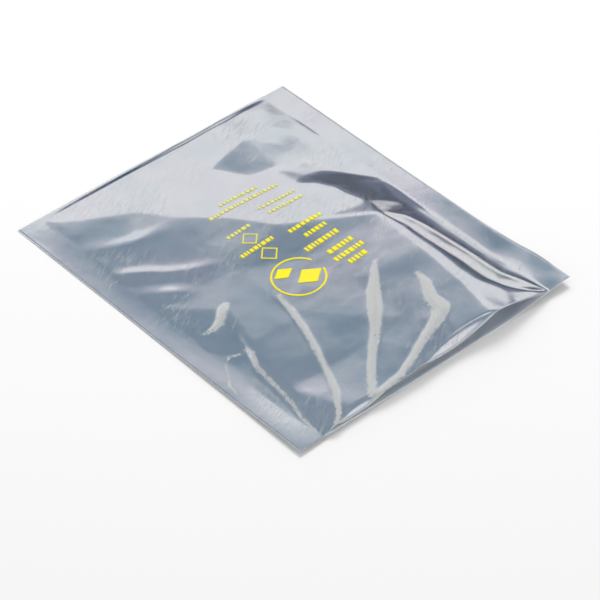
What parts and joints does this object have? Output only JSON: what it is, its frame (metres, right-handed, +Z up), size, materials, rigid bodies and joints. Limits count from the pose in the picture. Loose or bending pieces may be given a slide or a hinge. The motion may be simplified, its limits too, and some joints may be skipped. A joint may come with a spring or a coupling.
{
  "type": "static shielding bag",
  "caption": "Flat pouch of metallised plastic film that shields electronics from static, folded at one end, sealed down its sides and open at the mouth.",
  "frame": {"origin": "on the underside, in the middle of the bag's outline", "axes": "+X across the bag between its side seals, +Y from the open mouth to the folded end, +Z up out of the upper film"},
  "size_m": [0.134, 0.16, 0.0097],
  "materials": {
    "shielding_film": "metallised laminate, glossy and half see-through",
    "yellow_ink": "screen-printed solvent ink on the film, shown by the visual model only"
  },
  "bodies": {
    "root": {"shielding_bag": "shielding_film"}
  },
  "joints": []
}
